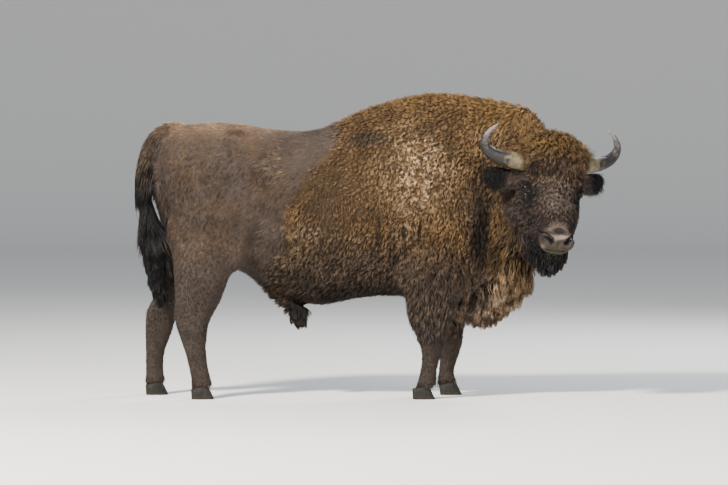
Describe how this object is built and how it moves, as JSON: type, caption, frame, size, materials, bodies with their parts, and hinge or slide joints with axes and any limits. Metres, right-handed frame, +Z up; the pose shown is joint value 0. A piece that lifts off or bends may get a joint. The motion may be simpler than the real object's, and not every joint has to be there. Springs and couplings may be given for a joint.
{
  "type": "wisent",
  "caption": "Life-size still model of a standing wisent bull in its spring moult, with its head turned to its right.",
  "frame": {"origin": "on the floor, under the middle of the animal's box", "axes": "+X forwards along the trunk, +Y to the animal's left, +Z up"},
  "size_m": [2.767, 0.942, 1.7535],
  "materials": {
    "cape": "woolly coat, matt",
    "hind_coat": "short coat, matt",
    "leg_coat": "short dark coat, matt",
    "face_coat": "short dark coat, matt",
    "mane": "long shaggy hair, matt",
    "black_hair": "long dark hair, slightly glossy",
    "nose_skin": "bare moist skin",
    "horn": "horn, satin, ringed at the base",
    "hoof": "horn, worn matt",
    "eye": "wet, glossy"
  },
  "bodies": {
    "root": {"beard": "black_hair", "ear_left": "face_coat", "ear_right": "face_coat", "eye_left": "eye", "eye_right": "eye", "foreleg_lower_left": "leg_coat", "foreleg_lower_right": "leg_coat", "foreleg_upper_left": "leg_coat", "foreleg_upper_right": "leg_coat", "head": "face_coat", "hindleg_lower_left": "leg_coat", "hindleg_lower_right": "leg_coat", "hindleg_upper_left": "leg_coat", "hindleg_upper_right": "leg_coat", "hoof_fore_left_inner": "hoof", "hoof_fore_left_outer": "hoof", "hoof_fore_right_inner": "hoof", "hoof_fore_right_outer": "hoof", "hoof_hind_left_inner": "hoof", "hoof_hind_left_outer": "hoof", "hoof_hind_right_inner": "hoof", "hoof_hind_right_outer": "hoof", "horn_left": "horn", "horn_right": "horn", "lower_jaw": "face_coat", "neck": "cape", "nose": "nose_skin", "sheath_tuft": "mane", "tail": "hind_coat", "tail_tuft": "black_hair", "throat_mane": "mane", "trunk": "cape"}
  },
  "joints": []
}
